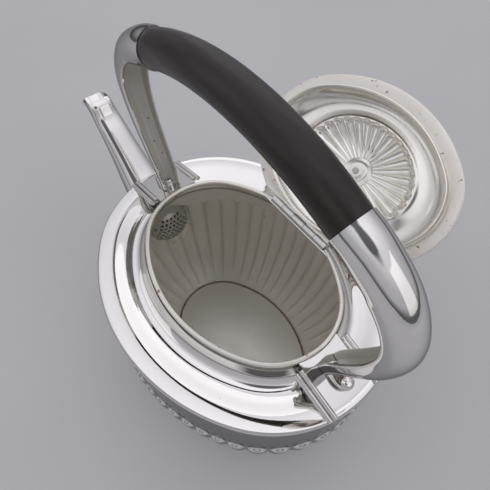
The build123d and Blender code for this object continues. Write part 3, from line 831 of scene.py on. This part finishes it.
BOSS_SECTION = [
    (2.2, BOSS_LOW), (BOSS_R + 0.3, BOSS_LOW), (BOSS_R + 0.9, BOSS_LOW - 0.5),
    (BOSS_R + 0.3, BOSS_LOW - 1.0), (BOSS_R - 1.0, BOSS_LOW - 0.7), (6.2, BOSS_LOW - 0.4),
    (2.2, BOSS_LOW - 0.4)]
KNOB_Z = BOSS_Z + 5.0
KNOB_SECTION = [(0.0, KNOB_Z), (4.2, KNOB_Z), (6.0, KNOB_Z + 3.0), (10.8, KNOB_Z + 9.0),
                (8.4, KNOB_Z + 15.0), (0.0, KNOB_Z + 18.0)]
NECK_SECTION = [(2.2, BOSS_Z), (6.0, BOSS_Z), (6.0, BOSS_Z + 1.6), (4.2, BOSS_Z + 2.8),
                (3.8, BOSS_Z + 4.2), (4.2, KNOB_Z), (2.2, KNOB_Z)]


def throw_back(piece):
    """Turns a piece modelled on the closed lid to where the open lid holds it."""
    turn = (Matrix.Translation(HINGE) @ Matrix.Rotation(-LID_OPEN, 4, "X")
            @ Matrix.Translation(-HINGE))
    piece.data.transform(turn)
    piece.data.update()


def lid_piece(name, shape, material, replaces, back=None):
    """A piece of the lid, cut off straight at back and thrown open."""
    verts, faces = shape
    piece = make(name, verts, faces, material, "lid", replaces)
    if back is not None:
        cut_back(piece, back)
    throw_back(piece)


def lid_spot(share, inward):
    """From the lid's edge oval, inward 0, to the rosette's ellipse, inward 1."""
    x, y = oval_spot(share)[0]
    angle = atan2(y / MOUTH_B, x / MOUTH_A)
    ex, ey = ROSETTE_A * cos(angle), ROSETTE_B * sin(angle)
    return x + (ex - x) * inward, y + (ey - y) * inward


def lid_dome():
    """The lid's domed sheet, from its edge to the rosette."""
    top = smooth(LID_SECTION, 6)
    loop = top + [(k, h - LID_T) for k, h in reversed(top)]
    rows = [[(*lid_spot(j / OVAL_SIDES, k), LID_Z + h) for k, h in loop]
            for j in range(OVAL_SIDES)]
    return grid(rows, wrap_rows=True)


def rosette_point(share, v, drop):
    """Fluted dome between the rosette's scalloped edge and the round boss."""
    u = ((share * ROSETTE_FLUTES + 0.5) % 1.0) - 0.5
    side = 1 - 4 * u * u
    x, y = lid_spot(share, 1.0)
    grow = 1 + ROSETTE_SCALLOP * side * ease(1 - v / SCALLOP_END)
    angle = atan2(y * ROSETTE_A / ROSETTE_B, x)
    bx, by = BOSS_R * cos(angle), BOSS_R * sin(angle)
    flute = (ROSETTE_RISE * side ** ROSETTE_FULL * ease(v / FLUTE_START)
             * (1 - FLUTE_LOSS * ease((v - FLUTE_FALL) / (1 - FLUTE_FALL))))
    bead = BEAD_DEPTH * ease(1 - abs(v - BEAD_AT) / BEAD_HALF)
    rise = BOSS_Z - LID_Z - ROSETTE_EDGE
    height = (LID_Z + ROSETTE_EDGE + rise * sin(v * pi / 2) + flute - ROSETTE_SINK - drop
              - bead)
    ox, oy = x * grow, y * grow
    return (ox + (bx - ox) * v, oy + (by - oy) * v, height)


def lid_rosette():
    """The fluted centre, as a sheet with an upper and a lower side."""
    count = ROSETTE_FLUTES * ROSETTE_STEPS
    rows = [[rosette_point(j / count, v, 0) for j in range(count)] for v in ROSETTE_ROWS]
    rows += [[rosette_point(j / count, v, LID_T) for j in range(count)]
             for v in reversed(ROSETTE_ROWS)]
    return grid(rows, wrap_rows=True)


def lid():
    """All pieces of the lid, and the finial on its outside."""
    lid_piece("lid_dome", lid_dome(), LID_UNDER, ["lid_shell"], LID_BACK_Y)
    border = around_oval(smooth(BORDER_UNDER, 5) + BORDER_TOP)
    lid_piece("lid_border", border, WORN, ["lid_flange"], back=LID_BACK_Y)
    bezel = around_oval(BEZEL_SECTION)
    lid_piece("lid_bezel_ring", bezel, LID_UNDER, ["lid_bezel"], back=CHORD_Y - CHORD_GAP)
    lid_piece("lid_fluted_centre", lid_rosette(), LID_UNDER, ["lid_rosette"])
    boss = lathe(BOSS_SECTION + BOSS_SECTION[:1], 72)
    lid_piece("lid_boss_ring", boss, LID_UNDER, [])
    lid_piece("finial_wood", lathe(smooth(KNOB_SECTION, 10)), EBONY, ["finial_knob"])
    neck = smooth(NECK_SECTION, 6)
    lid_piece("finial_neck", lathe(neck + neck[:1]), SILVER, ["finial_collar"])


# ---- CAD pieces that keep their shape -----------------------------------------------
KEPT_NODES = (
    (SILVER, ("saddle_reeds_front", "saddle_reeds_rear")),
    (HINGE_METAL, ("hinge_ledge", "body_hinge", "lid_hinge")),
    (INNER, ("base_plate",)),
    (LID_UNDER, ("finial_nut", "finial_washer")),
    (PIN, ("hinge_pin", "grip_pins", "finial_stud")))


def dress_nodes():
    """Gives each CAD node that still shows its material."""
    for material, nodes in KEPT_NODES:
        for node in nodes:
            mesh = frame["nodes"][node].data
            mesh.materials.clear()
            mesh.materials.append(material)


# ---- stage, light and camera --------------------------------------------------------
CAMERA_AT = Vector((0.10739, -0.08071, 0.36175))
CAMERA_TARGET = Vector((-0.01815, 0.01764, 0.11512))
CAMERA_ROLL = radians(0.41)
FOCAL_PX = 440.3
PHOTO_PX = 490
SENSOR_MM = 36.0
FLOOR_SIZE = 6             # metres
FLOOR_NOISE = 3.0
FLOOR_SHADES = ((0.3, grey(0.54)), (0.7, grey(0.57)))
FLOOR_ROUGH = 0.7
LIGHT_TARGET = Vector((0, 0, 0.1))
# The sky's grey by the sine of the elevation: dark at the horizon, bright overhead
SKY = ((0.0, 0.10), (0.16, 0.40), (0.45, 0.46), (0.80, 0.76), (1.0, 1.02))
SKY_BLUE = 1.02
# A dark flag on the photo camera's side of the sky: cosine of the angle from it, and shade
FLAG = ((0.945, 1.0), (0.975, 0.15))
FLAG_BLUE = 1.05
SOFTBOXES = (
    ("softbox_main", (-0.95, 1.05, 0.95), (1.5, 1.3), 0.40),
    ("softbox_right", (1.4, 0.3, 0.8), (1.1, 1.1), 0.40),
    ("softbox_front", (-0.9, -1.2, 0.7), (1.1, 1.1), 0.40))


def stage():
    """A plain pale floor."""
    n = Nodes("studio_floor")
    n.to("Base Color", n.ramp(n.noise(FLOOR_NOISE, 2.0), FLOOR_SHADES))
    n.shader.inputs["Roughness"].default_value = FLOOR_ROUGH
    bpy.ops.mesh.primitive_plane_add(size=FLOOR_SIZE)
    floor = bpy.context.object
    floor.name = "studio_floor"
    floor.data.materials.append(n.material)


def softbox(name, place, size, brightness):
    """Area light aimed at the kettle; brightness is about what a mirror shows of it."""
    data = bpy.data.lights.new(name, "AREA")
    data.shape = "RECTANGLE"
    data.size, data.size_y = size
    data.energy = brightness * pi * size[0] * size[1]
    lamp = bpy.data.objects.new(name, data)
    lamp.location = place
    lamp.rotation_euler = (LIGHT_TARGET - Vector(place)).to_track_quat("-Z", "Y").to_euler()
    bpy.context.scene.collection.objects.link(lamp)


def grey_ramp(tree, stops, blue):
    """A ramp of greys whose blue is scaled."""
    ramp = tree.nodes.new("ShaderNodeValToRGB")
    elements = ramp.color_ramp.elements
    for at, shade in stops[1:-1]:
        elements.new(at)
    for element, (at, shade) in zip(elements, stops):
        element.position = at
        element.color = (shade, shade, shade * blue, 1)
    return ramp


def lights():
    """The sky, which does most of the lighting, and the softboxes."""
    world = bpy.data.worlds.new("studio_world")
    world.use_nodes = True
    tree = world.node_tree
    coords = tree.nodes.new("ShaderNodeTexCoord")
    split = tree.nodes.new("ShaderNodeSeparateXYZ")
    sky = grey_ramp(tree, SKY, SKY_BLUE)
    flag = tree.nodes.new("ShaderNodeVectorMath")
    flag.operation = "DOT_PRODUCT"
    flag.inputs[1].default_value = (CAMERA_AT - CAMERA_TARGET).normalized()
    edge = grey_ramp(tree, FLAG, FLAG_BLUE)
    dim = tree.nodes.new("ShaderNodeVectorMath")
    dim.operation = "MULTIPLY"
    for output, socket in (
            (coords.outputs["Generated"], split.inputs["Vector"]),
            (split.outputs["Z"], sky.inputs["Fac"]),
            (coords.outputs["Generated"], flag.inputs[0]),
            (flag.outputs["Value"], edge.inputs["Fac"]),
            (sky.outputs["Color"], dim.inputs[0]),
            (edge.outputs["Color"], dim.inputs[1]),
            (dim.outputs["Vector"], tree.nodes["Background"].inputs["Color"])):
        tree.links.new(output, socket)
    bpy.context.scene.world = world
    for box in SOFTBOXES:
        softbox(*box)


def camera():
    """The photo's camera, as fitted to the kettle's ovals."""
    data = bpy.data.cameras.new("photo_camera")
    data.sensor_width = SENSOR_MM
    data.lens = FOCAL_PX / PHOTO_PX * SENSOR_MM
    data.clip_start = 0.01
    view = bpy.data.objects.new("photo_camera", data)
    forward = (CAMERA_TARGET - CAMERA_AT).normalized()
    right = forward.cross(Vector((0, 0, 1))).normalized()
    up = right.cross(forward)
    r = right * cos(CAMERA_ROLL) + up * sin(CAMERA_ROLL)
    u = up * cos(CAMERA_ROLL) - right * sin(CAMERA_ROLL)
    view.matrix_world = Matrix((
        (r.x, u.x, -forward.x, CAMERA_AT.x), (r.y, u.y, -forward.y, CAMERA_AT.y),
        (r.z, u.z, -forward.z, CAMERA_AT.z), (0, 0, 0, 1)))
    bpy.context.scene.collection.objects.link(view)
    bpy.context.scene.camera = view


bpy.context.scene.view_settings.view_transform = "Standard"
camera()
stage()
lights()
bowl()
shoulder()
rim()
floor_seam()
strainer()
spout()
for side, name in ((-1, "front"), (1, "rear")):
    arm(side, name)
    saddle(side, name)
    scroll(side, name)
grip()
lid()
dress_nodes()
